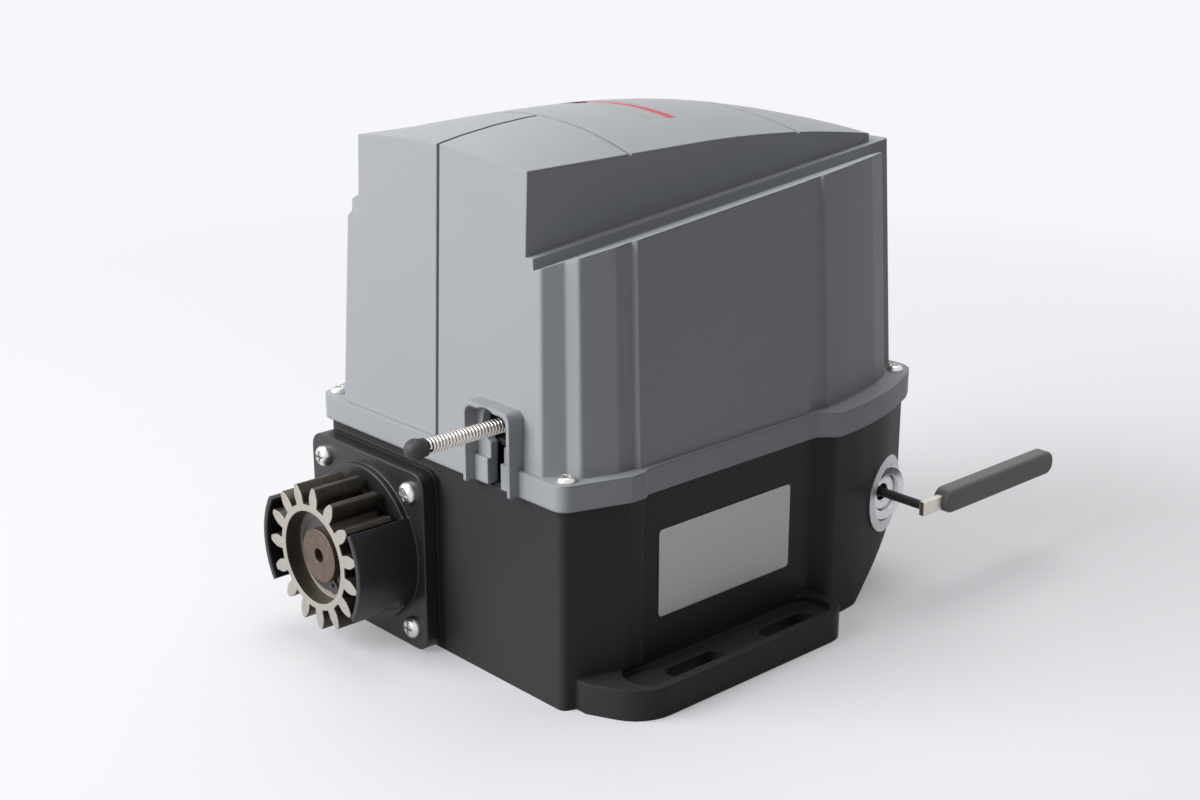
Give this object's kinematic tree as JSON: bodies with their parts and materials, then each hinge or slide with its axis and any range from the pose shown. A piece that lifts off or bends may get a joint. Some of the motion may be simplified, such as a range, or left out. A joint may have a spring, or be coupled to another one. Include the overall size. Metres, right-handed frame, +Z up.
{
  "type": "sliding gate operator",
  "caption": "Sliding gate operator: grey lift-off hood on a black cast base with slotted feet, a rack pinion in a guard, a sprung limit lever and a key release.",
  "frame": {"origin": "centre of the slots in the two feet, on the plane that the base stands on", "axes": "+Z up, +X towards the side with the name panel shown, +Y away from the gate: the pinion's axis lies along Y and its front faces -Y"},
  "size_m": [0.233, 0.349, 0.2365],
  "materials": {
    "cast_black": "satin black powder coat on cast aluminium",
    "cover_grey": "fine-textured matte grey ABS",
    "black_rubber": "matte black rubber",
    "bright_zinc": "bright zinc-plated steel",
    "gear_steel": "machined steel, lightly oiled",
    "bearing_steel": "ground bearing steel",
    "cast_grey": "plain die-cast aluminium",
    "lamination": "stacked electrical steel",
    "copper_wire": "enamelled copper wire",
    "black_plastic": "moulded black plastic",
    "board_green": "printed circuit board",
    "terminal_green": "terminal plastic",
    "relay_blue": "relay case plastic",
    "can_metal": "drawn aluminium can",
    "bronze": "cast bronze",
    "dark_spring_steel": "phosphated spring steel",
    "stainless": "stainless spring wire",
    "plate_silver": "satin silver plate, bare",
    "lock_chrome": "chromed zinc",
    "panel_red": "red insert, bare",
    "key_grey": "dark grey moulded grip",
    "strip_brass": "bent brass strip"
  },
  "bodies": {
    "root": {"base_housing": "cast_black", "cover_seal": "black_rubber", "nameplate": "plate_silver", "pinion_flange": "cast_black", "flange_screws": "bright_zinc", "shaft_seal": "black_rubber", "front_bearing": "bearing_steel", "rear_bearing": "bearing_steel", "gearbox_lid": "cast_grey", "lid_screws": "bright_zinc", "lower_worm_bearing": "bearing_steel", "upper_worm_bearing": "bearing_steel", "motor_housing": "cast_grey", "stator_core": "lamination", "stator_windings": "copper_wire", "motor_end_bell": "cast_grey", "motor_top_bearing": "bearing_steel", "motor_screws": "bright_zinc", "board_tray": "black_plastic", "tray_screws": "bright_zinc", "control_board": "board_green", "transformer": "lamination", "relays": "relay_blue", "terminal_block": "terminal_green", "capacitor": "can_metal", "capacitor_clip": "black_plastic", "cable_grommet": "black_rubber", "limit_bracket": "black_plastic", "bracket_screws": "bright_zinc", "microswitches": "black_plastic", "lock_ring": "plate_silver", "lock_barrel": "lock_chrome"},
    "cover": {"cover": "cover_grey", "cover_screws": "bright_zinc", "top_panel": "panel_red"},
    "output": {"pinion": "gear_steel", "output_shaft": "gear_steel", "worm_wheel": "bronze", "circlip": "dark_spring_steel", "shaft_key": "gear_steel"},
    "rotor": {"worm_shaft": "bearing_steel", "rotor_core": "lamination"},
    "clutch": {"clutch_ring": "gear_steel", "clutch_pin": "bearing_steel"},
    "slider": {"release_slider": "bright_zinc"},
    "key": {"lock_plug": "black_plastic", "release_cam": "bright_zinc", "key_shank": "black_plastic", "key_strip": "strip_brass", "key_grip": "key_grey"},
    "lever": {"limit_hub": "bright_zinc", "limit_spring": "stainless", "limit_ball": "black_rubber"}
  },
  "joints": [
    {"name": "output_spin", "type": "hinge", "parent": "root", "child": "output", "pos_m": [-0.041, -0.088, 0.0437], "axis": [0, 1, 0], "continuous": true},
    {"name": "motor_spin", "type": "hinge", "parent": "root", "child": "rotor", "pos_m": [0, -0.006, 0.0437], "axis": [0, 0, 1], "continuous": true},
    {"name": "key_turn", "type": "hinge", "parent": "root", "child": "key", "pos_m": [0.088, 0.115, 0.048], "axis": [1, 0, 0], "range_deg": [0, 90]},
    {"name": "slider_push", "type": "slide", "parent": "root", "child": "slider", "axis": [0, -1, 0], "range_m": [0, 0.005]},
    {"name": "clutch_release", "type": "slide", "parent": "output", "child": "clutch", "axis": [0, -1, 0], "range_m": [0, 0.0052]},
    {"name": "limit_swing", "type": "hinge", "parent": "root", "child": "lever", "pos_m": [0.0425, -0.08, 0.118], "axis": [0, 0, 1], "range_deg": [-25, 25], "stiffness_Nm_per_rad": 0.05},
    {"name": "cover_lift", "type": "slide", "parent": "root", "child": "cover", "axis": [0, 0, 1], "range_m": [0, 0.26]}
  ],
  "couplings": [
    {"joint": "motor_spin", "follows": "output_spin", "ratio": 32},
    {"joint": "key_turn", "follows": "slider_push", "rad_per_m": 314.16},
    {"joint": "clutch_release", "follows": "slider_push", "ratio": 1}
  ]
}
